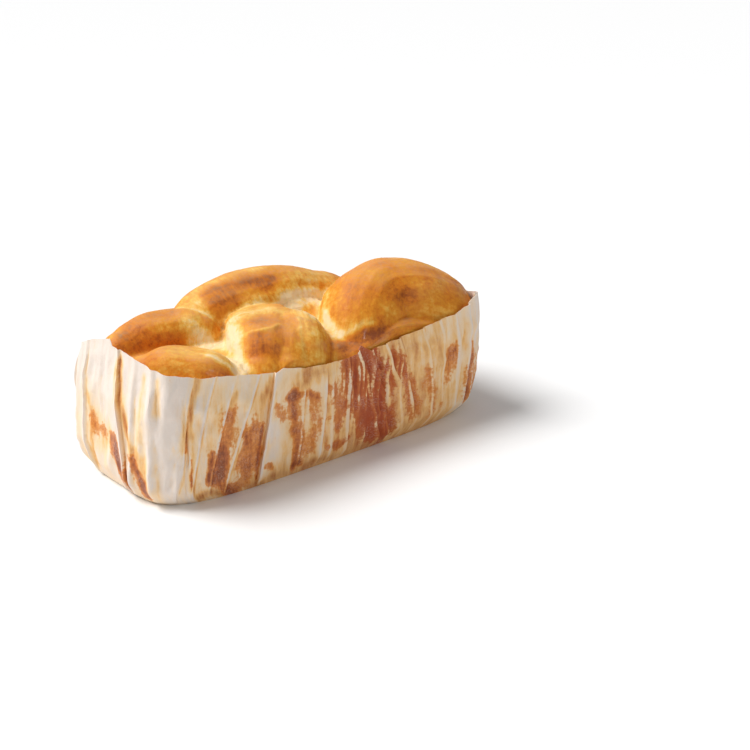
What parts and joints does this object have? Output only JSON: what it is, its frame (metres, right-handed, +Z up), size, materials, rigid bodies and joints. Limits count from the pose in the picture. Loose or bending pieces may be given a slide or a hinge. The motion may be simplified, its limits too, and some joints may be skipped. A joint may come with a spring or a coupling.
{
  "type": "brioche",
  "caption": "Plaited brioche loaf with a glazed golden crust, standing in its pleated, grease-stained baking-paper case.",
  "frame": {"origin": "middle of the box's underside, on the flat base of the paper case", "axes": "+X along the loaf to its tall domed end, +Y to the far long side, +Z up"},
  "size_m": [0.2776, 0.1184, 0.1112],
  "materials": {
    "crust": "egg-glazed brioche crust, satin on the browned tops, matte and pale yellow in the valleys where the dough has stretched",
    "baking_paper": "thin crumpled baking paper, dull with a slight sheen on its folds, see-through where butter has soaked it"
  },
  "bodies": {
    "root": {"loaf": "crust", "paper_case": "baking_paper"}
  },
  "joints": []
}
